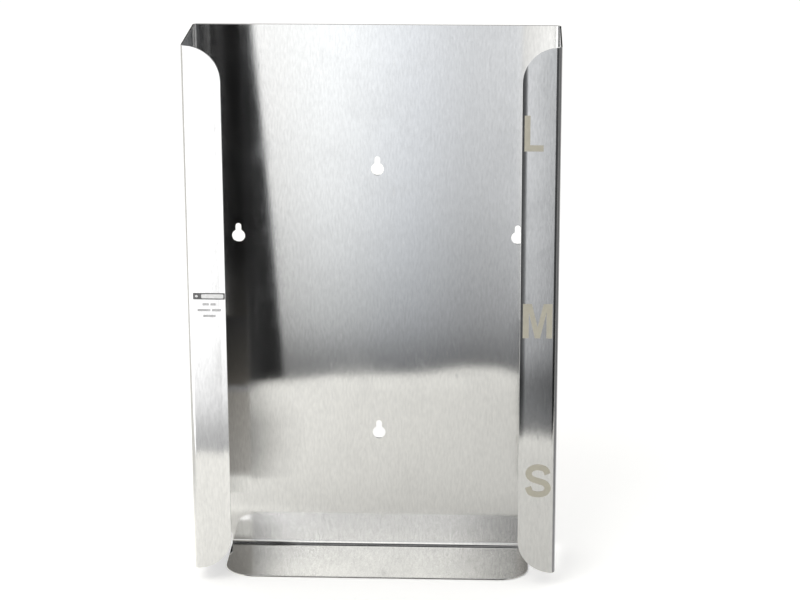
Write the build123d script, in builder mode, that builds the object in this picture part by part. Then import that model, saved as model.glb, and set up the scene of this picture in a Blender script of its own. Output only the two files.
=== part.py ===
"""Wall dispenser for three cartons of disposable gloves, folded from one stainless steel sheet.

Millimetres, +Z up. X runs from side wall to side wall, the open front faces -Y and the wall is at +Y.
The origin is on the surface that the dispenser can stand on, at the centre of its outline.
"""

from build123d import *
import os

# Sheet, folds, and the light rounding that deburring leaves along the cut edges
sheet_thickness = 1.2
inside_bend_radius = 2.5
edge_break_radius = 0.25

# Folded body: a back, two side walls and two front lips.
# The inset is what stays flat between a lip's rounded corner and the outside of its side wall.
body_width = 250.0
body_depth = 72.0
side_height = 370.0
lip_width = 26.0
lip_corner_inset = 2.0

# Shelf: a tongue of the back that hangs below the side walls and folds forward.
# It stays in from the outside of the side walls and behind the front of the lips.
shelf_side_inset = 18.5
shelf_setback = 12.0
shelf_drop = 10.0
shelf_corner_radius = 20.0
shelf_root_radius = 4.0

# Keyholes: a round entry for the screw head, with a narrow slot above it for the shank
keyhole_entry_diameter = 9.0
keyhole_slot_width = 4.0
keyhole_slot_rise = 7.0
upper_keyhole_below_top = 101.0
upright_pair_spacing = 193.0
side_pair_below_upper = 48.5
side_pair_inset = 28.0

# Faces and levels that follow from the sizes above
outside_bend_radius = inside_bend_radius + sheet_thickness
side_foot = sheet_thickness + shelf_drop
body_top = side_foot + side_height
wall_face = body_depth / 2
front_face = -body_depth / 2
lip_edge = body_width / 2 - lip_width
lip_corner_radius = lip_width - lip_corner_inset
shelf_front = front_face + shelf_setback
shelf_width = body_width - 2 * shelf_side_inset

upper_keyhole_height = body_top - upper_keyhole_below_top
lower_keyhole_height = upper_keyhole_height - upright_pair_spacing
side_keyhole_height = upper_keyhole_height - side_pair_below_upper
side_keyhole_reach = body_width / 2 - side_pair_inset
keyhole_places = [
    (0, upper_keyhole_height),
    (0, lower_keyhole_height),
    (-side_keyhole_reach, side_keyhole_height),
    (side_keyhole_reach, side_keyhole_height),
]

# Faces that meet at more than this many degrees meet at a cut edge, and others run on through a fold
cut_edge_turn = 45.0


def cut_edges(part):
    """The edges where the sheet's cut faces meet its inside and outside surfaces."""
    faces = part.faces()

    def is_cut(edge):
        middle = edge @ 0.5
        first, second = [face.normal_at(middle) for face in faces if edge in face.edges()]
        return first.get_angle(second) > cut_edge_turn

    return part.edges().filter_by(is_cut)


with BuildPart() as folded_sheet:
    # Back, side walls and lips: one folded strip, drawn in plan along its outside faces
    with BuildSketch(Plane.XY.offset(side_foot)):
        with BuildLine():
            outside = FilletPolyline(
                (-lip_edge, front_face),
                (-body_width / 2, front_face),
                (-body_width / 2, wall_face),
                (body_width / 2, wall_face),
                (body_width / 2, front_face),
                (lip_edge, front_face),
                radius=outside_bend_radius,
            )
            offset(outside, amount=sheet_thickness, side=Side.RIGHT)
        make_face()
    extrude(amount=side_height)

    # Free corners of the lips, rounded almost to the side walls and so into the folds
    with BuildSketch(Plane.XZ.offset(-front_face)):
        with Locations((lip_edge, body_top)):
            Rectangle(lip_corner_radius, lip_corner_radius, align=(Align.MIN, Align.MAX))
        with Locations((lip_edge, side_foot)):
            Rectangle(lip_corner_radius, lip_corner_radius, align=(Align.MIN, Align.MIN))
        with Locations(
            (lip_edge + lip_corner_radius, body_top - lip_corner_radius),
            (lip_edge + lip_corner_radius, side_foot + lip_corner_radius),
        ):
            Circle(lip_corner_radius, mode=Mode.SUBTRACT)
        mirror(about=Plane.YZ)
    extrude(amount=-outside_bend_radius, mode=Mode.SUBTRACT)

    # Shelf tongue: down from the foot of the back, then forward under the open front
    with BuildSketch(Plane.YZ):
        with BuildLine():
            underside = FilletPolyline(
                (wall_face, side_foot + sheet_thickness),
                (wall_face, 0),
                (shelf_front, 0),
                radius=outside_bend_radius,
            )
            offset(underside, amount=sheet_thickness, side=Side.RIGHT)
        make_face()
    extrude(amount=shelf_width / 2, both=True)

    shelf_corners = folded_sheet.edges().filter_by(Axis.Z).group_by(Axis.Z)[0]
    fillet(shelf_corners, radius=shelf_corner_radius)

    # Rounded roots where the tongue leaves the foot of the back
    shelf_roots = (
        folded_sheet.edges()
        .filter_by(Axis.Y)
        .filter_by_position(Axis.Z, side_foot, side_foot)
        .filter_by_position(Axis.X, -shelf_width / 2, shelf_width / 2)
    )
    fillet(shelf_roots, radius=shelf_root_radius)

    # Outline deburred, while the keyholes are still to come
    fillet(cut_edges(folded_sheet.part), radius=edge_break_radius)

    # Keyholes, punched from the wall face right through the back, with their edges left sharp
    with BuildSketch(Plane.XZ.offset(-wall_face)):
        with Locations(*keyhole_places):
            Circle(keyhole_entry_diameter / 2)
        with Locations(*[(x, z + keyhole_slot_rise / 2) for x, z in keyhole_places]):
            SlotCenterToCenter(keyhole_slot_rise, keyhole_slot_width, rotation=90)
    extrude(amount=sheet_thickness, mode=Mode.SUBTRACT)

folded_sheet.part.label = "folded_sheet"
os.makedirs("parts", exist_ok=True)
export_step(folded_sheet.part, "parts/folded_sheet.step")
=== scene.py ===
"""Finish, size marks and studio for the folded steel glove carton dispenser.

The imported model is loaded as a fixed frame.  One operator gives the folded
sheet its brushed stainless finish, one etches the size letters on a lip, one
prints the plain label block on the other lip, and one sets up the studio.
"""
import math

import bpy
from bpy.props import FloatProperty, FloatVectorProperty, PointerProperty
from bpy.types import Operator, Panel, PropertyGroup
from mathutils import Matrix, Vector


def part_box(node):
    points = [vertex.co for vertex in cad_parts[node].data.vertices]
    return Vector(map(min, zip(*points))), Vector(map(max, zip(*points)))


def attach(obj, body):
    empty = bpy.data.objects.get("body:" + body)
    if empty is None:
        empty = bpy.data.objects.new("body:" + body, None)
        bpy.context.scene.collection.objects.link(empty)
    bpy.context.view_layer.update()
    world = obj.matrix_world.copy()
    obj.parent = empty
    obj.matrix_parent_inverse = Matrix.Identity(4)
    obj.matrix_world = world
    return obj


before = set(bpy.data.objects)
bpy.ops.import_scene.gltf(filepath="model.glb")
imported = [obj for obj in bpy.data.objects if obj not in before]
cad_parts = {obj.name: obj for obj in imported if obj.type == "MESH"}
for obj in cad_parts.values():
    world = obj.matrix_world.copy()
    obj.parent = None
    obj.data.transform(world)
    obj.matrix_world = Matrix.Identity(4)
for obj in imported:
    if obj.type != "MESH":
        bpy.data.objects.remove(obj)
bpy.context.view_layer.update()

bl_info = {
    "name": "Glove Dispenser Finish",
    "version": (1, 0, 0),
    "blender": (4, 5, 0),
    "location": "3D View > Sidebar > Dispenser",
    "description": "Brushed steel finish, size letters, label block and studio for a glove carton dispenser",
    "category": "Object",
}

SHEET_NODE = "folded_sheet"
BODY = "root"
sheet_low, sheet_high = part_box(SHEET_NODE)
LIP_WIDTH = 0.026
LIP_FACE_Y = sheet_low[1]
LIP_EDGE_X = sheet_high[0] - LIP_WIDTH
PRINT_LAYER = 0.00002

# Camera place, and the same place mirrored in the sheet's back.  The room
# floor card is graded along lines of sight from the mirrored place, so it is
# laid out for this one camera.  The card itself stays fixed in the scene.
CAMERA_PLACE = (0.09627, -1.72577, 0.74322)
MIRRORED_X, MIRRORED_Y, MIRRORED_HEIGHT = 0.096, 1.795, 0.7432

# Planes that the stage cards lie in.
OPENING_FLAG_Y = -0.07
POCKET_Y = -0.0345
BACK_FLAG_Y = 2.0
FRONT_WALL_Y = -2.6
OVERHEAD_Z = 1.8
SIDE_FLAG_X = 0.9
FLOOR_Z = -0.0003
SHELF_SHADE_Z = 0.0001
ROOM_FLOOR_Z = 0.0008
SIDE_FLOOR_Z = 0.0012


# ---------------------------------------------------------------- properties

class SteelFinishSettings(PropertyGroup):
    colour: FloatVectorProperty(
        name="Steel colour", description="Reflected colour of the bare stainless sheet",
        subtype="COLOR", size=3, min=0.0, max=1.0, default=(0.68, 0.68, 0.68))
    roughness: FloatProperty(
        name="Roughness", description="Blur of the satin surface between the grain lines",
        subtype="FACTOR", min=0.0, max=1.0, default=0.085)
    grain_width: FloatProperty(
        name="Grain width", description="Width of one brushed grain line",
        subtype="DISTANCE", unit="LENGTH", min=0.0001, max=0.005, default=0.0013)
    grain_length: FloatProperty(
        name="Grain length", description="Length of one brushed grain line",
        subtype="DISTANCE", unit="LENGTH", min=0.001, max=0.1, default=0.0050)
    edge_width: FloatProperty(
        name="Worn edge width", description="How far the polish on a cut edge or fold reaches in",
        subtype="DISTANCE", unit="LENGTH", min=0.0001, max=0.005, default=0.0006)
    roll_width: FloatProperty(
        name="Rolled edge width", description="Width of the slightly rolled strip along a lip's free edge",
        subtype="DISTANCE", unit="LENGTH", min=0.0005, max=0.01, default=0.0042)
    roll_angle: FloatProperty(
        name="Rolled edge angle", description="How far the rolled strip turns out at the free edge",
        subtype="ANGLE", unit="ROTATION", min=0.0, max=math.radians(30), default=math.radians(7.0))


class SizeLetterSettings(PropertyGroup):
    height: FloatProperty(
        name="Letter height", description="Height of an etched size letter",
        subtype="DISTANCE", unit="LENGTH", min=0.005, max=0.05, default=0.0242)
    stroke: FloatProperty(
        name="Stroke width", description="Width of the letters' curved stroke",
        subtype="DISTANCE", unit="LENGTH", min=0.0005, max=0.01, default=0.0043)
    depth: FloatProperty(
        name="Etch relief", description="Thickness of the frosted layer that the etching leaves",
        subtype="DISTANCE", unit="LENGTH", min=0.00001, max=0.001, default=0.00003)
    colour: FloatVectorProperty(
        name="Etch colour", description="Colour of the frosted steel in the letters",
        subtype="COLOR", size=3, min=0.0, max=1.0, default=(0.440, 0.418, 0.348))


class LabelBlockSettings(PropertyGroup):
    bar_height: FloatProperty(
        name="Bar height", description="Height of the printed bar",
        subtype="DISTANCE", unit="LENGTH", min=0.001, max=0.02, default=0.0046)
    bar_width: FloatProperty(
        name="Bar width", description="Width of the printed bar",
        subtype="DISTANCE", unit="LENGTH", min=0.002, max=0.03, default=0.0215)
    top_height: FloatProperty(
        name="Label height", description="Height of the top of the label above the foot",
        subtype="DISTANCE", unit="LENGTH", default=0.2118)
    ink: FloatVectorProperty(
        name="Ink colour", description="Colour of the marked bar",
        subtype="COLOR", size=3, min=0.0, max=1.0, default=(0.120, 0.120, 0.125))
    pale_ink: FloatVectorProperty(
        name="Pale ink colour", description="Colour of the field in the bar",
        subtype="COLOR", size=3, min=0.0, max=1.0, default=(0.82, 0.82, 0.83))
    faint_ink: FloatVectorProperty(
        name="Faint ink colour", description="Colour of the dashes under the bar",
        subtype="COLOR", size=3, min=0.0, max=1.0, default=(0.52, 0.52, 0.53))


class StudioSettings(PropertyGroup):
    floor_colour: FloatVectorProperty(
        name="Floor colour", description="Colour of the plain table and floor",
        subtype="COLOR", size=3, min=0.0, max=1.0, default=(0.95, 0.94, 0.89))
    fill_level: FloatProperty(
        name="Fill level", description="Brightness of the even light from all round",
        min=0.0, max=2.0, default=0.72)
    key_level: FloatProperty(
        name="Key level", description="Brightness that the main soft lamp adds to a white surface",
        min=0.0, max=2.0, default=0.30)
    lens: FloatProperty(
        name="Lens", description="Focal length of the camera, in millimetres",
        subtype="DISTANCE_CAMERA", unit="CAMERA", min=10.0, max=400.0, default=119.0)


# ------------------------------------------------------------ node shorthand

def add_node(tree, kind, x, y, **settings):
    """Places a node at a grid place and sets its attributes and plain inputs."""
    node = tree.nodes.new(kind)
    node.location = (x * 180, y * -160)
    for name, value in settings.items():
        if hasattr(node, name):
            setattr(node, name, value)
        else:
            node.inputs[name.replace("_", " ")].default_value = value
    return node


def maths(tree, operation, x, y, first, second=None, third=None, clamp=False):
    """A Math node whose inputs are either numbers or sockets."""
    node = add_node(tree, "ShaderNodeMath", x, y, operation=operation, use_clamp=clamp)
    for socket, value in zip(node.inputs, (first, second, third)):
        if value is None:
            continue
        if isinstance(value, (int, float)):
            socket.default_value = value
        else:
            tree.links.new(value, socket)
    return node.outputs["Value"]


def ramp(tree, x, y, factor, stops):
    """A Color Ramp with (place, grey or colour) stops."""
    node = add_node(tree, "ShaderNodeValToRGB", x, y)
    elements = node.color_ramp.elements
    while len(elements) > 1:
        elements.remove(elements[-1])
    for i, (place, tone) in enumerate(stops):
        element = elements[0] if i == 0 else elements.new(place)
        element.position = place
        element.color = (tone, tone, tone, 1.0) if isinstance(tone, (int, float)) else (*tone, 1.0)
    tree.links.new(factor, node.inputs["Fac"])
    return node.outputs["Color"]


def new_material(name):
    """An empty node material with its Principled shader and output."""
    material = bpy.data.materials.new(name)
    material.use_nodes = True
    tree = material.node_tree
    tree.nodes.clear()
    output = add_node(tree, "ShaderNodeOutputMaterial", 12, 0)
    shader = add_node(tree, "ShaderNodeBsdfPrincipled", 10, 0)
    tree.links.new(shader.outputs["BSDF"], output.inputs["Surface"])
    return material, tree, shader


def new_group(name, inputs, outputs):
    """A shader node group with named float or colour sockets."""
    group = bpy.data.node_groups.new(name, "ShaderNodeTree")
    for label, kind, value in inputs:
        socket = group.interface.new_socket(label, in_out="INPUT", socket_type=kind)
        socket.default_value = value
    for label, kind in outputs:
        group.interface.new_socket(label, in_out="OUTPUT", socket_type=kind)
    return group, add_node(group, "NodeGroupInput", -6, 0), add_node(group, "NodeGroupOutput", 8, 0)


# ------------------------------------------------------------- shader groups

def brushed_grain_group():
    """Grain lines that run down the upright faces and out along the shelf."""
    if "brushed grain" in bpy.data.node_groups:
        return bpy.data.node_groups["brushed grain"]
    group, given, result = new_group(
        "brushed grain",
        [("Width", "NodeSocketFloat", 0.0006), ("Length", "NodeSocketFloat", 0.007)],
        [("Grain", "NodeSocketFloat"), ("Scratches", "NodeSocketFloat")])
    place = add_node(group, "ShaderNodeTexCoord", -6, 2)
    facing = add_node(group, "ShaderNodeNewGeometry", -6, 4)
    split = add_node(group, "ShaderNodeSeparateXYZ", -5, 2)
    normal = add_node(group, "ShaderNodeSeparateXYZ", -5, 4)
    group.links.new(place.outputs["Object"], split.inputs[0])
    group.links.new(facing.outputs["True Normal"], normal.inputs[0])
    level = maths(group, "GREATER_THAN", -4, 4, maths(group, "ABSOLUTE", -4.5, 4, normal.outputs["Z"]), 0.7)
    across = maths(group, "DIVIDE", -4, 0, 1.0, given.outputs["Width"])
    along = maths(group, "DIVIDE", -4, 1, 1.0, given.outputs["Length"])
    y_scale = add_node(group, "ShaderNodeMix", -3, 2, data_type="FLOAT")
    z_scale = add_node(group, "ShaderNodeMix", -3, 3, data_type="FLOAT")
    for mix, upright, flat in ((y_scale, across, along), (z_scale, along, across)):
        group.links.new(level, mix.inputs["Factor"])
        group.links.new(upright, mix.inputs["A"])
        group.links.new(flat, mix.inputs["B"])
    stretched = add_node(group, "ShaderNodeCombineXYZ", -1, 2)
    for axis, scale in (("X", across), ("Y", y_scale.outputs["Result"]), ("Z", z_scale.outputs["Result"])):
        group.links.new(maths(group, "MULTIPLY", -2, 2, split.outputs[axis], scale), stretched.inputs[axis])
    lines = add_node(group, "ShaderNodeTexNoise", 0, 1, Scale=1.0, Detail=3.0, Roughness=0.55)
    scratch = add_node(group, "ShaderNodeTexNoise", 0, 3, Scale=0.33, Detail=1.0, Roughness=0.5)
    for texture in (lines, scratch):
        group.links.new(stretched.outputs[0], texture.inputs["Vector"])
    few = add_node(group, "ShaderNodeMapRange", 2, 3, interpolation_type="SMOOTHSTEP",
                   From_Min=0.70, From_Max=0.80)
    group.links.new(scratch.outputs["Fac"], few.inputs["Value"])
    group.links.new(lines.outputs["Fac"], result.inputs["Grain"])
    group.links.new(few.outputs["Result"], result.inputs["Scratches"])
    return group


def handling_marks_group():
    """Soft clouds of handling haze and small specks."""
    if "handling marks" in bpy.data.node_groups:
        return bpy.data.node_groups["handling marks"]
    group, given, result = new_group(
        "handling marks", [("Cloud Size", "NodeSocketFloat", 0.03)],
        [("Haze", "NodeSocketFloat"), ("Specks", "NodeSocketFloat")])
    place = add_node(group, "ShaderNodeTexCoord", -6, 2)
    scale = maths(group, "DIVIDE", -4, 0, 1.0, given.outputs["Cloud Size"])
    cloud = add_node(group, "ShaderNodeTexNoise", -2, 1, Detail=4.0, Roughness=0.6, Distortion=0.4)
    speck = add_node(group, "ShaderNodeTexNoise", -2, 3, Scale=420.0, Detail=1.0)
    for texture in (cloud, speck):
        group.links.new(place.outputs["Object"], texture.inputs["Vector"])
    group.links.new(scale, cloud.inputs["Scale"])
    haze = add_node(group, "ShaderNodeMapRange", 1, 1, interpolation_type="SMOOTHSTEP",
                    From_Min=0.42, From_Max=0.72)
    dots = add_node(group, "ShaderNodeMapRange", 1, 3, interpolation_type="SMOOTHSTEP",
                    From_Min=0.72, From_Max=0.80)
    group.links.new(cloud.outputs["Fac"], haze.inputs["Value"])
    group.links.new(speck.outputs["Fac"], dots.inputs["Value"])
    group.links.new(haze.outputs["Result"], result.inputs["Haze"])
    group.links.new(dots.outputs["Result"], result.inputs["Specks"])
    return group


def worn_edge_group():
    """A mask that is 1 on the deburred cut edges and fades into the faces."""
    if "worn edge" in bpy.data.node_groups:
        return bpy.data.node_groups["worn edge"]
    group, given, result = new_group(
        "worn edge", [("Reach", "NodeSocketFloat", 0.0006)], [("Edge", "NodeSocketFloat")])
    rounded = add_node(group, "ShaderNodeBevel", -3, 1, samples=4)
    facing = add_node(group, "ShaderNodeNewGeometry", -3, 3)
    group.links.new(given.outputs["Reach"], rounded.inputs["Radius"])
    turn = add_node(group, "ShaderNodeVectorMath", -1, 2, operation="DOT_PRODUCT")
    group.links.new(rounded.outputs["Normal"], turn.inputs[0])
    group.links.new(facing.outputs["Normal"], turn.inputs[1])
    mask = add_node(group, "ShaderNodeMapRange", 2, 2, interpolation_type="SMOOTHSTEP",
                    From_Min=0.999, From_Max=0.93)
    group.links.new(turn.outputs["Value"], mask.inputs["Value"])
    group.links.new(mask.outputs["Result"], result.inputs["Edge"])
    return group


def place_group(tree, group, x, y, **values):
    """Puts a node group in a material with its own values."""
    node = add_node(tree, "ShaderNodeGroup", x, y)
    node.node_tree = group
    for name, value in values.items():
        node.inputs[name.replace("_", " ")].default_value = value
    return node


# ----------------------------------------------------------------- materials

def rolled_edge_height(tree, settings):
    """The slight roll that shearing leaves along the lips' upright free edges, in metres."""
    place = add_node(tree, "ShaderNodeTexCoord", -6, 8)
    split = add_node(tree, "ShaderNodeSeparateXYZ", -5, 8)
    tree.links.new(place.outputs["Object"], split.inputs[0])
    inward = maths(tree, "SUBTRACT", -3, 8, LIP_EDGE_X + settings.roll_width,
                   maths(tree, "ABSOLUTE", -4, 8, split.outputs["X"]))
    inward = maths(tree, "MAXIMUM", -2, 8, inward, 0.0)
    drop = maths(tree, "MULTIPLY", -1, 8, maths(tree, "MULTIPLY", -1, 9, inward, inward),
                 math.tan(settings.roll_angle) / (2 * settings.roll_width))
    on_lip = maths(tree, "LESS_THAN", 0, 9, split.outputs["Y"], LIP_FACE_Y + 0.0002)
    return maths(tree, "MULTIPLY", 1, 8, drop, on_lip)


def brushed_stainless(settings):
    """Satin stainless with vertical grain, handling haze and polished edges."""
    material, tree, steel = new_material("brushed_stainless")
    grain = place_group(tree, brushed_grain_group(), -4, 0,
                        Width=settings.grain_width, Length=settings.grain_length)
    fine = place_group(tree, brushed_grain_group(), -4, 2,
                       Width=settings.grain_width * 0.15, Length=settings.grain_length * 0.8)
    marks = place_group(tree, handling_marks_group(), -4, 4, Cloud_Size=0.035)
    edge = place_group(tree, worn_edge_group(), -4, 6, Reach=settings.edge_width)

    steel.inputs["Metallic"].default_value = 1.0
    steel.inputs["Anisotropic"].default_value = 0.5

    tone = maths(tree, "MULTIPLY_ADD", -2, 0, grain.outputs["Grain"], 0.29, 0.855)
    tone = maths(tree, "MULTIPLY_ADD", -1, 0, marks.outputs["Haze"], -0.025, tone)
    tone = maths(tree, "MULTIPLY_ADD", 0, 0, marks.outputs["Specks"], -0.05, tone)
    tone = maths(tree, "MULTIPLY_ADD", 1, 0, edge.outputs["Edge"], 0.06, tone)
    coloured = add_node(tree, "ShaderNodeVectorMath", 3, 0, operation="SCALE")
    coloured.inputs[0].default_value = settings.colour
    tree.links.new(tone, coloured.inputs["Scale"])
    tree.links.new(coloured.outputs[0], steel.inputs["Base Color"])

    rough = maths(tree, "MULTIPLY_ADD", -1, 2, fine.outputs["Grain"], 0.04, settings.roughness - 0.02)
    rough = maths(tree, "MULTIPLY_ADD", 0, 2, marks.outputs["Haze"], 0.03, rough)
    rough = maths(tree, "MULTIPLY_ADD", 1, 2, grain.outputs["Scratches"], 0.08, rough)
    rough = maths(tree, "MULTIPLY_ADD", 2, 2, edge.outputs["Edge"], 0.04, rough, clamp=True)
    tree.links.new(rough, steel.inputs["Roughness"])

    height = maths(tree, "MULTIPLY_ADD", 0, 4, fine.outputs["Grain"], 0.35, grain.outputs["Grain"])
    height = maths(tree, "MULTIPLY_ADD", 1, 4, grain.outputs["Scratches"], -0.15, height)
    height = maths(tree, "MULTIPLY", 2, 4, height, 0.000006)
    height = maths(tree, "ADD", 3, 4, height, rolled_edge_height(tree, settings))
    bump = add_node(tree, "ShaderNodeBump", 6, 4, Strength=1.0, Distance=1.0)
    tree.links.new(height, bump.inputs["Height"])
    tree.links.new(bump.outputs["Normal"], steel.inputs["Normal"])

    # The brush direction: up the upright faces, front to back on the shelf.
    facing = add_node(tree, "ShaderNodeNewGeometry", 4, 6)
    split = add_node(tree, "ShaderNodeSeparateXYZ", 5, 6)
    turned = add_node(tree, "ShaderNodeCombineXYZ", 8, 6)
    tree.links.new(facing.outputs["True Normal"], split.inputs[0])
    tree.links.new(maths(tree, "SUBTRACT", 6, 6, split.outputs["Z"], split.outputs["Y"]), turned.inputs["X"])
    tree.links.new(split.outputs["X"], turned.inputs["Y"])
    tree.links.new(turned.outputs[0], steel.inputs["Tangent"])
    return material


def frosted_etch(settings):
    """Matte frosted steel of the size letters."""
    material, tree, etch = new_material("frosted_etch")
    etch.inputs["Metallic"].default_value = 0.0
    etch.inputs["Specular IOR Level"].default_value = 0.3
    grain = place_group(tree, brushed_grain_group(), -4, 0, Width=0.0005, Length=0.003)
    marks = place_group(tree, handling_marks_group(), -4, 2, Cloud_Size=0.006)
    tone = maths(tree, "MULTIPLY_ADD", -2, 0, grain.outputs["Grain"], 0.16, 0.90)
    tone = maths(tree, "MULTIPLY_ADD", -1, 0, marks.outputs["Haze"], 0.06, tone)
    coloured = add_node(tree, "ShaderNodeVectorMath", 3, 0, operation="SCALE")
    coloured.inputs[0].default_value = settings.colour
    tree.links.new(tone, coloured.inputs["Scale"])
    tree.links.new(coloured.outputs[0], etch.inputs["Base Color"])
    rough = maths(tree, "MULTIPLY_ADD", 0, 2, marks.outputs["Haze"], 0.12, 0.50)
    tree.links.new(rough, etch.inputs["Roughness"])
    bump = add_node(tree, "ShaderNodeBump", 6, 4, Strength=0.4, Distance=0.00002)
    tree.links.new(grain.outputs["Grain"], bump.inputs["Height"])
    tree.links.new(bump.outputs["Normal"], etch.inputs["Normal"])
    return material


def marking_ink(name, colour):
    """Marking ink, slightly thin and uneven on the steel."""
    material, tree, ink = new_material(name)
    ink.inputs["Metallic"].default_value = 0.0
    marks = place_group(tree, handling_marks_group(), -4, 0, Cloud_Size=0.002)
    grain = place_group(tree, brushed_grain_group(), -4, 2, Width=0.0004, Length=0.003)
    tone = maths(tree, "MULTIPLY_ADD", -1, 0, marks.outputs["Haze"], 0.2, 0.88)
    tone = maths(tree, "MULTIPLY_ADD", 0, 0, grain.outputs["Grain"], 0.12, tone)
    coloured = add_node(tree, "ShaderNodeVectorMath", 3, 0, operation="SCALE")
    coloured.inputs[0].default_value = colour
    tree.links.new(tone, coloured.inputs["Scale"])
    tree.links.new(coloured.outputs[0], ink.inputs["Base Color"])
    rough = maths(tree, "MULTIPLY_ADD", 1, 2, marks.outputs["Haze"], 0.15, 0.38)
    tree.links.new(rough, ink.inputs["Roughness"])
    bump = add_node(tree, "ShaderNodeBump", 6, 4, Strength=0.3, Distance=0.00001)
    tree.links.new(grain.outputs["Grain"], bump.inputs["Height"])
    tree.links.new(bump.outputs["Normal"], ink.inputs["Normal"])
    return material


# -------------------------------------------------------------------- pieces

LETTER_OUTLINES = {
    "L": [(0, 0), (1, 0), (1, 0.175), (0.30, 0.175), (0.30, 1), (0, 1)],
    "M": [(0, 0), (0.2, 0), (0.2, 0.76), (0.41, 0), (0.59, 0), (0.8, 0.76), (0.8, 0), (1, 0),
          (1, 1), (0.7, 1), (0.5, 0.32), (0.3, 1), (0, 1)],
}
S_MIDDLE_LINE = [
    (0.97, 0.50), (0.70, 0.86), (0.0, 1.0), (-0.68, 0.87), (-0.96, 0.52), (-0.66, 0.17), (0.0, -0.01),
    (0.70, -0.19), (1.0, -0.54), (0.72, -0.88), (0.0, -1.0), (-0.74, -0.86), (-1.0, -0.46)]


def smooth_line(points, steps):
    """Points along a smooth line through the given ones."""
    ends = [Vector(points[0]) * 2 - Vector(points[1])] + [Vector(p) for p in points]
    ends.append(ends[-1] * 2 - ends[-2])
    line = []
    for i in range(1, len(ends) - 2):
        a, b, c, d = ends[i - 1:i + 3]
        for step in range(steps):
            t = step / steps
            line.append(0.5 * (2 * b + (c - a) * t + (2 * a - 5 * b + 4 * c - d) * t ** 2
                               + (3 * b - 3 * c + d - a) * t ** 3))
    return line + [ends[-2]]


def letter_mesh(name, letter, box, stroke, depth):
    """A flat bold letter fitted to box = (left, right, bottom, top) on the lip's face."""
    left, right, bottom, top = box
    mesh = bpy.data.meshes.new(name)
    y = LIP_FACE_Y - depth
    if letter in LETTER_OUTLINES:
        outline = [(left + (right - left) * u, y, bottom + (top - bottom) * v)
                   for u, v in LETTER_OUTLINES[letter]]
        mesh.from_pydata(outline, [], [list(range(len(outline)))])
        return mesh
    middle = Vector(((left + right) / 2, (bottom + top) / 2))
    reach = Vector(((right - left - stroke) / 2, (top - bottom - stroke) / 2))
    line = [middle + Vector((p.x * reach.x, p.y * reach.y)) for p in smooth_line(S_MIDDLE_LINE, 6)]
    points = []
    for i, p in enumerate(line):
        run = (line[min(i + 1, len(line) - 1)] - line[max(i - 1, 0)]).normalized()
        side = Vector((-run.y, run.x)) * stroke / 2
        points += [(p.x + side.x, y, p.y + side.y), (p.x - side.x, y, p.y - side.y)]
    mesh.from_pydata(points, [], [(2 * i, 2 * i + 1, 2 * i + 3, 2 * i + 2) for i in range(len(line) - 1)])
    return mesh


def add_piece(name, mesh, material, depth):
    """A thin marked layer on the lip: given its thickness, material, body and slot."""
    mesh.name = name
    piece = bpy.data.objects.new(name, mesh)
    bpy.context.scene.collection.objects.link(piece)
    mesh.materials.append(material)
    layer = piece.modifiers.new("layer", "SOLIDIFY")
    layer.thickness = depth
    layer.offset = 1.0
    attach(piece, BODY)
    return piece


def rounded_blocks(blocks, radius, y):
    """One mesh of flat blocks with rounded corners; each is (centre x, centre z, width, height)."""
    points, faces = [], []
    for cx, cz, width, height in blocks:
        r = min(radius, height * 0.49, width * 0.49)
        start = len(points)
        for corner, (sx, sz) in enumerate(((1, 1), (-1, 1), (-1, -1), (1, -1))):
            for step in range(5):
                a = math.radians(90 * corner + 22.5 * step)
                points.append((cx + sx * (width / 2 - r) + r * math.cos(a), y,
                               cz + sz * (height / 2 - r) + r * math.sin(a)))
        faces.append(range(start, len(points)))
    mesh = bpy.data.meshes.new("blocks")
    mesh.from_pydata(points, [], [list(f) for f in faces])
    mesh.flip_normals()
    mesh.update()
    return mesh


# --------------------------------------------------------------------- stage

def flat_card(name, outline, material, glossy_only=True):
    """A flat stage card from an outline of points; a glossy-only card is seen only in reflections, as painted
    reflected light or shade.
    """
    mesh = bpy.data.meshes.new(name)
    mesh.from_pydata(outline, [], [list(range(len(outline)))])
    mesh.materials.append(material)
    card = bpy.data.objects.new(name, mesh)
    bpy.context.scene.collection.objects.link(card)
    # Seen only in reflections: the card paints reflected light or shade, lights nothing and casts no shadow.
    if glossy_only:
        card.visible_camera = False
        card.visible_diffuse = False
        card.visible_shadow = False
        card.visible_transmission = False
        card.visible_volume_scatter = False
    return card


def upright_points(y, outline):
    """(x, z) points put in the upright plane at y."""
    return [(x, y, z) for x, z in outline]


def level_points(z, outline):
    """(x, y) points put in the level plane at z."""
    return [(x, y, z) for x, y in outline]


def rectangle(left, right, low, high):
    """The four corners of a rectangle, in order."""
    return [(left, low), (right, low), (right, high), (left, high)]


def card_material(name, strength=1.0, colour=(1.0, 1.0, 1.0)):
    """An evenly glowing or dark card."""
    material = bpy.data.materials.new(name)
    material.use_nodes = True
    tree = material.node_tree
    tree.nodes.clear()
    glow = add_node(tree, "ShaderNodeEmission", 6, 0, Color=(*colour, 1.0), Strength=strength)
    output = add_node(tree, "ShaderNodeOutputMaterial", 9, 0)
    tree.links.new(glow.outputs[0], output.inputs["Surface"])
    return material, tree, glow


def object_axes(tree, x, y):
    """The X, Y and Z sockets of the place on the object."""
    place = add_node(tree, "ShaderNodeTexCoord", x, y)
    split = add_node(tree, "ShaderNodeSeparateXYZ", x + 1, y)
    tree.links.new(place.outputs["Object"], split.inputs[0])
    return split.outputs


def graded(tree, x, y, value, low, high, start=0.0, end=1.0, shape="LINEAR"):
    """A Map Range from low..high to start..end."""
    node = add_node(tree, "ShaderNodeMapRange", x, y, interpolation_type=shape,
                    From_Min=low, From_Max=high, To_Min=start, To_Max=end)
    tree.links.new(value, node.inputs["Value"])
    return node.outputs["Result"]


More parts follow.
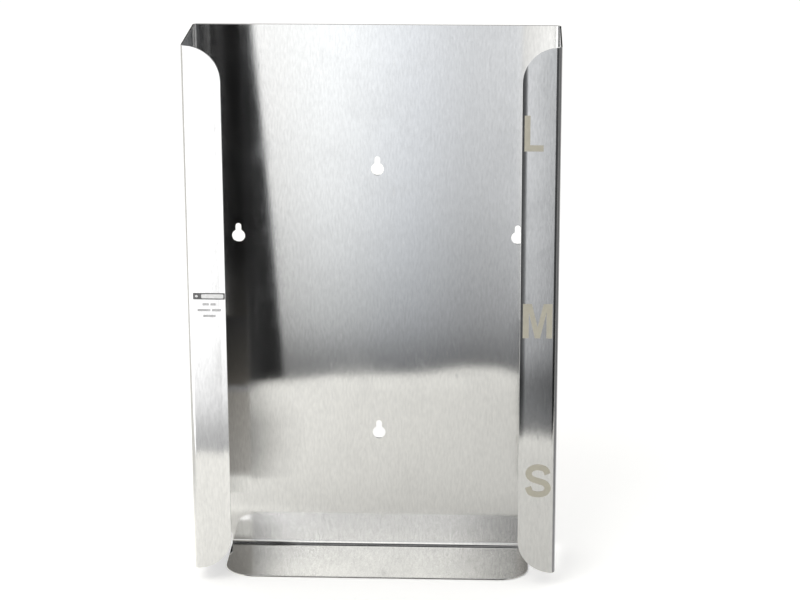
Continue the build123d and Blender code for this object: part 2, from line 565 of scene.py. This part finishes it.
def room_floor_material():
    """Painted reflection of the dim room beyond the table, graded along lines of sight from the mirrored
    camera place.
    """
    material, tree, glow = card_material("room_floor")
    axes = object_axes(tree, -7, 0)
    reach = maths(tree, "SUBTRACT", -4, 0, MIRRORED_Y, axes["Y"])
    dip = maths(tree, "DIVIDE", -3, 0, MIRRORED_HEIGHT, reach)
    depth = maths(tree, "MULTIPLY_ADD", -2, 0, dip, 5.0, -0.80)
    away = ramp(tree, 0, 0, depth, [
        (0.26, 1.0), (0.37, 0.93), (0.49, 0.84), (0.58, 0.76), (0.74, 0.56), (0.80, 0.47),
        (0.845, 0.385), (0.89, 0.26), (0.92, 0.19), (1.00, 0.14)])
    side = maths(tree, "DIVIDE", -3, 2, maths(tree, "SUBTRACT", -4, 2, axes["X"], MIRRORED_X), reach)
    sweep = maths(tree, "MULTIPLY_ADD", -2, 2, side, 4.0, 0.5)
    across = ramp(tree, 0, 2, sweep, [
        (0.00, 0.72), (0.10, 0.75), (0.126, 0.80), (0.164, 0.89), (0.21, 0.93), (0.32, 0.72), (0.42, 0.55),
        (0.467, 0.56), (0.488, 0.62), (0.525, 0.66), (0.545, 0.56), (0.562, 0.38), (0.60, 0.22),
        (0.66, 0.12), (0.76, 0.06), (1.0, 0.05)])
    # Painted light and shade blended into the zones to the left and right.
    near = ramp(tree, 0, 4, depth, [(0.76, 1.0), (0.83, 0.85), (0.885, 0.72), (0.94, 0.44), (1.00, 0.32)])
    lip = ramp(tree, 0, 6, depth, [
        (0.70, 1.0), (0.784, 0.92), (0.822, 0.62), (0.842, 0.44), (0.878, 0.62), (0.916, 1.2)])
    near = maths(tree, "MAXIMUM", 2, 4, near, graded(tree, 1, 5, side, -0.135, -0.165))
    near = maths(tree, "MULTIPLY", 3, 4, near, graded(tree, 2, 5, side, -0.6, -2.5, 1.0, 0.5))
    left = graded(tree, 0, 8, side, -0.1065, -0.1085)
    right = graded(tree, 0, 10, side, 0.001, 0.004)
    room = maths(tree, "MULTIPLY", 2, 1, away, across)
    for where, tone in ((right, maths(tree, "MULTIPLY", 3, 1, room, lip)), (left, near)):
        blend = add_node(tree, "ShaderNodeMix", 4, 2, data_type="FLOAT")
        tree.links.new(where, blend.inputs["Factor"])
        tree.links.new(room, blend.inputs["A"])
        tree.links.new(tone, blend.inputs["B"])
        room = blend.outputs["Result"]
    tree.links.new(maths(tree, "MULTIPLY", 5, 1, room, 1.75), glow.inputs["Strength"])
    tree.links.new(ramp(tree, 3, 6, sweep, [
        (0.07, (0.98, 0.98, 0.98)), (0.10, (0.985, 0.98, 0.955)), (0.15, (0.967, 0.98, 0.975)),
        (0.25, (0.955, 0.98, 0.995)), (0.33, (0.945, 0.98, 1.025)), (0.45, (0.963, 0.98, 1.0)),
        (1.0, (0.96, 0.98, 1.0))]),
        glow.inputs["Color"])
    return material


def tall_flag_material():
    """A narrow glossy-only dark card that paints a dark band into the sheet's reflections, a touch lighter at
    its lower left.
    """
    material, tree, glow = card_material("tall_flag")
    axes = object_axes(tree, -4, 0)
    corner = maths(tree, "MULTIPLY", 0, 0, graded(tree, -1, 0, axes["X"], -0.088, -0.1045),
                   graded(tree, -1, 1, axes["Z"], 0.21, 0.09))
    tree.links.new(maths(tree, "MULTIPLY_ADD", 1, 0, corner, 0.036, 0.016), glow.inputs["Strength"])
    return material


def overhead_material():
    """A glossy-only dark card overhead that paints a dark reflection with one grey stripe across."""
    material, tree, glow = card_material("overhead_flag")
    axes = object_axes(tree, -4, 0)
    tree.links.new(ramp(tree, 0, 0, graded(tree, -1, 0, axes["Y"], -0.9, 0.4), [
        (0.25, 0.02), (0.32, 0.38), (0.44, 0.38), (0.52, 0.02)]), glow.inputs["Strength"])
    return material


def gauze_material():
    """A glossy-only dark gauze that paints shade into the reflections low on the left; it thins to the right
    and lets what is behind it through.
    """
    material, tree, glow = card_material("gauze", 0.0)
    axes = object_axes(tree, -4, 0)
    lean = maths(tree, "ADD", -1, 0, axes["X"], graded(tree, -2, 1, axes["Z"], 0.055, 0.082, 0.0, 0.012))
    lean = maths(tree, "ADD", 0, 0, lean, graded(tree, -2, 2, axes["Z"], 0.032, 0.008, 0.0, 0.010))
    thin = ramp(tree, 2, 0, graded(tree, 1, 0, lean, -0.1049, -0.0599), [
        (0.0, 0.30), (0.18, 0.47), (0.36, 0.64), (0.60, 0.85), (1.0, 1.0)])
    clear = add_node(tree, "ShaderNodeBsdfTransparent", 5, 2)
    both = add_node(tree, "ShaderNodeMixShader", 7, 0)
    tree.links.new(thin, both.inputs["Fac"])
    tree.links.new(glow.outputs[0], both.inputs[1])
    tree.links.new(clear.outputs[0], both.inputs[2])
    tree.links.new(both.outputs[0], tree.nodes["Material Output"].inputs["Surface"])
    return material


def pocket_material():
    """A small glossy-only card behind a lip that paints the recess's reflections: a painted highlight at the
    foot and painted shade higher up.
    """
    material, tree, glow = card_material("pocket_card")
    axes = object_axes(tree, -5, 0)
    rise = ramp(tree, 0, 0, graded(tree, -1, 0, axes["Z"], 0.0, 0.15), [
        (0.16, (1.03, 1.02, 0.96)), (0.175, (0.62, 0.61, 0.57)), (0.20, (0.46, 0.444, 0.412)),
        (0.40, (0.40, 0.385, 0.353)), (0.60, (0.34, 0.325, 0.295)), (0.63, 0.28),
        (0.655, (0.10, 0.092, 0.08)), (0.75, (0.066, 0.062, 0.055)), (1.0, 0.03)])
    near = graded(tree, 0, 2, maths(tree, "ABSOLUTE", -1, 2, axes["X"]), 0.113, 0.099, 0.82, 1.08)
    tree.links.new(rise, glow.inputs["Color"])
    tree.links.new(near, glow.inputs["Strength"])
    return material


def top_pocket_material():
    """A glossy-only card behind the right lip's rounded top: painted reflected light, brighter to the side.
    """
    material, tree, glow = card_material("top_pocket", colour=(1.0, 0.995, 0.97))
    axes = object_axes(tree, -4, 0)
    level = maths(tree, "MULTIPLY", 1, 0, graded(tree, 0, 0, axes["X"], 0.099, 0.122, 1.06, 1.5),
                  graded(tree, 0, 1, axes["Z"], 0.15, 0.25, 0.5, 0.96))
    tree.links.new(level, glow.inputs["Strength"])
    return material


def front_wall_material():
    """A glossy-only card that paints the reflection of a soft box in front: bright in the middle, grey to
    both sides.
    """
    material, tree, glow = card_material("front_wall")
    axes = object_axes(tree, -6, 0)
    height = maths(tree, "MINIMUM", -3, 0, axes["Z"], 1.117)
    lean = maths(tree, "MULTIPLY_ADD", -2, 0, height, -1.2, maths(tree, "ADD", -3, 1, axes["X"], 1.3404))
    left = ramp(tree, 0, 0, graded(tree, -1, 0, lean, -0.42, -0.28), [
        (0.0, 0.35), (0.15, 0.40), (0.45, 0.74), (0.68, 1.0)])
    right = ramp(tree, 0, 2, graded(tree, -1, 2, axes["X"], -0.4, 0.2), [
        (0.25, 1.0), (0.48, 0.96), (0.60, 0.93), (0.69, 0.90), (0.735, 0.84), (0.75, 0.22),
        (0.765, 0.06), (0.79, 0.06), (0.82, 0.33), (1.0, 0.34)])
    level = maths(tree, "MULTIPLY", 2, 0, left, right)
    # Painted highlights and shade in the low strip that the shelf mirrors, with a bright spot far to the
    # left.
    foot = maths(tree, "MULTIPLY", 2, 3, graded(tree, 1, 3, axes["Z"], 1.085, 1.062, 0.0, 0.30),
                 graded(tree, 1, 2, axes["X"], -0.16, -0.02))
    rise = maths(tree, "ADD", 3, 2, graded(tree, 2, 2, axes["Z"], 1.098, 1.12, 1.17, 1.84), foot)
    level = maths(tree, "MULTIPLY", 3, 0, level, rise)
    low_left = ramp(tree, 1, 4, graded(tree, 0, 4, axes["X"], -0.4, 0.0), [
        (0.0875, 3.9), (0.2125, 0.15), (0.2875, 0.03), (0.42, 0.09), (0.56, 0.17), (1.0, 0.2)])
    low_left = maths(tree, "MULTIPLY", 3, 4, maths(tree, "SUBTRACT", 2, 4, low_left, 0.2),
                     maths(tree, "MULTIPLY", 2, 5, graded(tree, 1, 5, axes["Z"], 1.12, 1.085),
                           graded(tree, 1, 6, axes["Z"], 1.066, 1.076, 0.35, 1.0)))
    level = maths(tree, "MULTIPLY_ADD", 4, 0, level, low_left, level)
    tree.links.new(level, glow.inputs["Strength"])
    hue = ramp(tree, 4, 3, graded(tree, 3, 3, axes["Z"], 1.10, 1.12), [
        (0.0, (1.0, 0.995, 0.98)), (1.0, (1.0, 0.99, 0.93))])
    tree.links.new(hue, glow.inputs["Color"])
    return material


def side_flag_material():
    """A glossy-only card that paints a dark reflection straight to the right and turns pale towards the back.
    """
    material, tree, glow = card_material("side_flag")
    axes = object_axes(tree, -6, 0)
    turn = maths(tree, "DIVIDE", -2, 0, maths(tree, "ADD", -3, 0, axes["Y"], 0.036),
                 maths(tree, "MAXIMUM", -3, 1, maths(tree, "SUBTRACT", -4, 1, axes["X"], 0.125), 0.01))
    tone = ramp(tree, 0, 0, graded(tree, -1, 0, turn, -1.0, 1.5), [
        (0.0, 0.32), (0.28, 0.21), (0.44, 0.18), (0.54, 0.24), (0.68, 0.58), (0.80, 0.84), (1.0, 0.88)])
    near = graded(tree, 0, 2, axes["X"], 0.15, 0.60, 1.7, 1.0)
    near = maths(tree, "MAXIMUM", 1, 2, maths(tree, "MULTIPLY", 1, 1, near, tone), tone)
    tree.links.new(maths(tree, "MINIMUM", 2, 1, near, 0.88), glow.inputs["Strength"])
    return material


def floor_material(settings):
    """Plain pale table that keeps the object's soft shadow, glows to white for the camera and shows a painted
    sheen in reflections.
    """
    material, tree, pale = new_material("pale_floor")
    pale.inputs["Base Color"].default_value = (*settings.floor_colour, 1.0)
    pale.inputs["Roughness"].default_value = 0.9
    pale.inputs["Specular IOR Level"].default_value = 0.0
    axes = object_axes(tree, -1, 4)
    # Painted sheen that only reflections of the table show: more towards the left and at the far front, an
    # extra patch near the left front, and none behind or beyond the left.
    painted_sheen = graded(tree, 4, 4, axes["X"], -0.15, 0.11, 0.36, 0.0)
    painted_sheen = maths(tree, "ADD", 5, 4, painted_sheen,
                  graded(tree, 4, 5, axes["Y"], -0.28, -0.34, 0.0, 0.12, "SMOOTHSTEP"))
    close = maths(tree, "MULTIPLY", 5, 6, graded(tree, 4, 6, axes["X"], -0.04, -0.09, 0.0, 0.18),
                  graded(tree, 4, 7, axes["Y"], -0.046, -0.034))
    painted_sheen = maths(tree, "ADD", 6, 4, painted_sheen, close)
    painted_sheen = maths(tree, "MULTIPLY", 7, 4, painted_sheen, graded(tree, 6, 5, axes["Y"], 0.12, 0.04))
    painted_sheen = maths(tree, "MULTIPLY", 8, 4, painted_sheen, graded(tree, 7, 5, axes["X"], -0.34, -0.22))
    # The painted glow is bluish to the camera and warm in reflections.
    path = add_node(tree, "ShaderNodeLightPath", 4, 2)
    hue = ramp(tree, 6, 0, path.outputs["Is Glossy Ray"], [
        (0.0, (0.93, 0.94, 1.0)), (1.0, (1.0, 0.985, 0.93))])
    tree.links.new(hue, pale.inputs["Emission Color"])
    seen = maths(tree, "MULTIPLY", 7, 2, path.outputs["Is Camera Ray"], 0.34)
    tree.links.new(maths(tree, "MULTIPLY_ADD", 8, 2, path.outputs["Is Glossy Ray"], painted_sheen, seen),
                   pale.inputs["Emission Strength"])
    return material


def studio_world(settings):
    """White to the camera and in reflections, an even fill for everything else."""
    world = bpy.data.worlds.new("studio")
    world.use_nodes = True
    tree = world.node_tree
    tree.nodes.clear()
    path = add_node(tree, "ShaderNodeLightPath", -4, 0)
    seen = maths(tree, "MAXIMUM", -2, 0, path.outputs["Is Camera Ray"],
                 maths(tree, "MAXIMUM", -3, 1, path.outputs["Is Glossy Ray"],
                       path.outputs["Is Transmission Ray"]))
    level = add_node(tree, "ShaderNodeMapRange", -1, 0)
    level.inputs["To Min"].default_value = settings.fill_level
    level.inputs["To Max"].default_value = 1.0
    tree.links.new(seen, level.inputs["Value"])
    sky = add_node(tree, "ShaderNodeBackground", 1, 0)
    sky.inputs["Color"].default_value = (1.0, 1.0, 1.0, 1.0)
    output = add_node(tree, "ShaderNodeOutputWorld", 3, 0)
    tree.links.new(level.outputs["Result"], sky.inputs["Strength"])
    tree.links.new(sky.outputs[0], output.inputs["Surface"])
    bpy.context.scene.world = world


def soft_lamp(name, place, aim, size, level):
    """A square soft lamp that adds level to a white surface at its aim."""
    place, aim = Vector(place), Vector(aim)
    lamp = bpy.data.lights.new(name, "AREA")
    lamp.shape = "SQUARE"
    lamp.size = size
    lamp.energy = level * (math.pi * (place - aim).length) ** 2
    holder = bpy.data.objects.new(name, lamp)
    holder.location = place
    holder.rotation_euler = (aim - place).to_track_quat("-Z", "Y").to_euler()
    holder.visible_glossy = False
    bpy.context.scene.collection.objects.link(holder)


def studio_camera(settings):
    """A long lens above and a little to the right, tipped down at the dispenser."""
    yaw, pitch, roll = (math.radians(a) for a in (-2.635, 17.55, -0.212))
    forward = Vector((math.sin(yaw) * math.cos(pitch), math.cos(yaw) * math.cos(pitch), -math.sin(pitch)))
    right = Vector((math.cos(yaw), -math.sin(yaw), 0.0))
    up = right.cross(forward)
    level_right = right * math.cos(roll) + up * math.sin(roll)
    level_up = up * math.cos(roll) - right * math.sin(roll)
    data = bpy.data.cameras.new("camera")
    data.sensor_fit = "HORIZONTAL"
    data.sensor_width = 36.0
    data.lens = settings.lens
    data.clip_end = 100.0
    camera = bpy.data.objects.new("camera", data)
    basis = Matrix((level_right, level_up, -forward)).transposed().to_4x4()
    camera.matrix_world = Matrix.Translation(CAMERA_PLACE) @ basis
    bpy.context.scene.collection.objects.link(camera)
    bpy.context.scene.camera = camera


# ----------------------------------------------------------------- operators

class DISPENSER_OT_finish_sheet(Operator):
    """Give the folded sheet its brushed stainless finish"""
    bl_idname = "dispenser.finish_sheet"
    bl_label = "Finish Folded Sheet"

    def execute(self, context):
        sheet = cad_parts[SHEET_NODE]
        steel = brushed_stainless(context.scene.dispenser_steel)
        for slot in sheet.material_slots:
            slot.material = steel
        return {"FINISHED"}


class DISPENSER_OT_etch_size_letters(Operator):
    """Etch the size letters L, M and S down the right lip"""
    bl_idname = "dispenser.etch_size_letters"
    bl_label = "Etch Size Letters"

    def execute(self, context):
        settings = context.scene.dispenser_letters
        etch = frosted_etch(settings)
        for letter, width, middle_x, middle_z in (
                ("L", 0.0126, 0.1071, 0.3237), ("M", 0.0198, 0.1109, 0.1943), ("S", 0.0178, 0.1125, 0.0795)):
            box = (middle_x - width / 2, middle_x + width / 2,
                   middle_z - settings.height / 2, middle_z + settings.height / 2)
            name = "size_letter_" + letter
            mesh = letter_mesh(name, letter, box, settings.stroke, settings.depth)
            add_piece(name, mesh, etch, settings.depth)
        return {"FINISHED"}


class DISPENSER_OT_print_label_block(Operator):
    """Print the plain bar and rows of dashes on the left lip"""
    bl_idname = "dispenser.print_label_block"
    bl_label = "Print Label Block"

    def execute(self, context):
        settings = context.scene.dispenser_label
        middle, top, high, wide = -0.1102, settings.top_height, settings.bar_height, settings.bar_width
        y = LIP_FACE_Y - PRINT_LAYER
        bar = rounded_blocks([(middle, top - high / 2, wide, high)], 0.0005, y)
        add_piece("label_bar", bar, marking_ink("marking_ink", settings.ink), PRINT_LAYER)
        fields = [(middle - wide * 0.395, top - high / 2, wide * 0.09, high * 0.36),
                  (middle + wide * 0.105, top - high / 2, wide * 0.70, high * 0.64)]
        add_piece("label_field", rounded_blocks(fields, 0.0009, y - 0.00003),
                  marking_ink("pale_ink", settings.pale_ink), PRINT_LAYER)
        rows = []
        for row, widths in enumerate(((0.0044, 0.0036), (0.0088, 0.0062), (0.0084,))):
            left = middle - (sum(widths) + 0.001 * (len(widths) - 1)) / 2
            for width in widths:
                rows.append((left + width / 2, top - high - 0.0034 - 0.0041 * row, width, 0.0017))
                left += width + 0.001
        add_piece("label_dashes", rounded_blocks(rows, 0.0003, y),
                  marking_ink("faint_ink", settings.faint_ink), PRINT_LAYER)
        return {"FINISHED"}


class DISPENSER_OT_set_up_studio(Operator):
    """Set up the floor, the cards that the steel mirrors, the soft lamps and the camera"""
    bl_idname = "dispenser.set_up_studio"
    bl_label = "Set Up Studio"

    def execute(self, context):
        settings = context.scene.dispenser_studio
        context.scene.view_settings.view_transform = "Standard"
        flat_card("floor", level_points(FLOOR_Z, rectangle(-6, 6, -6, 6)), floor_material(settings),
                  glossy_only=False)
        # The edge of the dim room and the outline of the dark flag were traced back
        # through the mirror by a scratch program, for this one camera.
        near_edge = [
            (-0.80, -0.02), (-0.152, -0.291), (-0.129, -0.286), (-0.118, -0.314), (-0.107, -0.316),
            (-0.087, -0.322), (-0.062, -0.335), (-0.036, -0.339), (-0.002, -0.340), (0.015, -0.342),
            (0.032, -0.350), (0.049, -0.360), (0.083, -0.360), (0.104, -0.337), (0.115, -0.343),
            (0.123, -0.334), (0.80, -0.20)]
        far_edge = [(5.9, -1.0), (5.9, -5.9), (-5.9, -5.9), (-5.9, -1.0)]
        flat_card("card_room_floor", level_points(ROOM_FLOOR_Z, near_edge + far_edge), room_floor_material())
        dark = card_material("dark_flag", 0.02)[0]
        seam = [(-0.1045, 0.0866), (-0.0934, 0.0876), (-0.0836, 0.0889), (-0.0770, 0.0898)]
        flag_top = [
            (-0.0774, 0.113), (-0.0798, 0.144), (-0.0810, 0.167), (-0.0829, 0.198), (-0.0850, 0.229),
            (-0.0909, 0.304), (-0.0953, 0.355), (-0.0973, 0.385), (-0.1045, 0.385)]
        gauze_foot = [(-0.1045, 0.009), (-0.055, 0.013), (-0.055, 0.0898)]
        # Glossy-only dark card and gauze in front of the opening: painted dark band and shade in the sheet's
        # reflections.
        flat_card("card_dark_flag", upright_points(OPENING_FLAG_Y, seam + flag_top), tall_flag_material())
        flat_card("card_gauze", upright_points(OPENING_FLAG_Y, gauze_foot + seam[::-1]), gauze_material())
        # Glossy-only cards in the recesses behind the lips paint the light and shade reflected there.
        pocket = pocket_material()
        flat_card("card_left_pocket", upright_points(POCKET_Y, rectangle(-0.1232, -0.0992, 0.012, 0.15)),
                  pocket)
        flat_card("card_right_pocket", upright_points(POCKET_Y, rectangle(0.0992, 0.1232, 0.025, 0.075)),
                  pocket)
        flat_card("card_top_pocket", upright_points(POCKET_Y, rectangle(0.0992, 0.1232, 0.15, 0.385)),
                  top_pocket_material())
        # A thin glossy-only dark strip in front of the shelf: painted contact shade that the shelf's front
        # edge reflects.
        flat_card("card_shelf_shade_line", level_points(SHELF_SHADE_Z, rectangle(-0.1, 0.1, -0.0256, -0.0244)), dark)
        flat_card("card_back_flag", upright_points(BACK_FLAG_Y, rectangle(-1.2, 1.0, 0.62, 1.25)), dark)
        flag = side_flag_material()
        flat_card("card_side_flag", [(SIDE_FLAG_X, y, z) for y, z in rectangle(-0.7, 1.6, 0.0, 1.1)], flag)
        wedge = [(0.137, -0.045), (SIDE_FLAG_X, -0.75), (SIDE_FLAG_X, 1.6), (0.137, 1.6)]
        flat_card("card_side_floor", level_points(SIDE_FLOOR_Z, wedge), flag)
        flat_card("card_overhead_flag", level_points(OVERHEAD_Z, rectangle(-1.2, 1.2, -0.9, 0.4)),
                  overhead_material())
        flat_card("card_front_wall", upright_points(FRONT_WALL_Y, rectangle(-2.2, 2.2, 0.55, 2.6)),
                  front_wall_material())
        studio_world(settings)
        soft_lamp("key_lamp", (-0.9, -1.7, 2.3), (0.0, 0.0, 0.18), 1.6, settings.key_level)
        studio_camera(settings)
        return {"FINISHED"}


# --------------------------------------------------------------------- panel

class DISPENSER_PT_panel(Panel):
    """Settings and steps of the dispenser's finish"""
    bl_idname = "DISPENSER_PT_panel"
    bl_label = "Glove Dispenser"
    bl_space_type = "VIEW_3D"
    bl_region_type = "UI"
    bl_category = "Dispenser"

    def draw(self, context):
        scene = context.scene
        for title, settings, operator in (
                ("Folded sheet", scene.dispenser_steel, "dispenser.finish_sheet"),
                ("Size letters", scene.dispenser_letters, "dispenser.etch_size_letters"),
                ("Label block", scene.dispenser_label, "dispenser.print_label_block"),
                ("Studio", scene.dispenser_studio, "dispenser.set_up_studio")):
            box = self.layout.box()
            box.label(text=title)
            for name in settings.__annotations__:
                box.prop(settings, name)
            box.operator(operator)


CLASSES = (
    SteelFinishSettings, SizeLetterSettings, LabelBlockSettings, StudioSettings,
    DISPENSER_OT_finish_sheet, DISPENSER_OT_etch_size_letters, DISPENSER_OT_print_label_block,
    DISPENSER_OT_set_up_studio, DISPENSER_PT_panel,
)


def register():
    for cls in CLASSES:
        bpy.utils.register_class(cls)
    bpy.types.Scene.dispenser_steel = PointerProperty(type=SteelFinishSettings)
    bpy.types.Scene.dispenser_letters = PointerProperty(type=SizeLetterSettings)
    bpy.types.Scene.dispenser_label = PointerProperty(type=LabelBlockSettings)
    bpy.types.Scene.dispenser_studio = PointerProperty(type=StudioSettings)


def unregister():
    for name in ("dispenser_studio", "dispenser_label", "dispenser_letters", "dispenser_steel"):
        delattr(bpy.types.Scene, name)
    for cls in reversed(CLASSES):
        bpy.utils.unregister_class(cls)


def main():
    register()
    bpy.ops.dispenser.finish_sheet()
    bpy.ops.dispenser.etch_size_letters()
    bpy.ops.dispenser.print_label_block()
    bpy.ops.dispenser.set_up_studio()


if __name__ == "__main__":
    main()
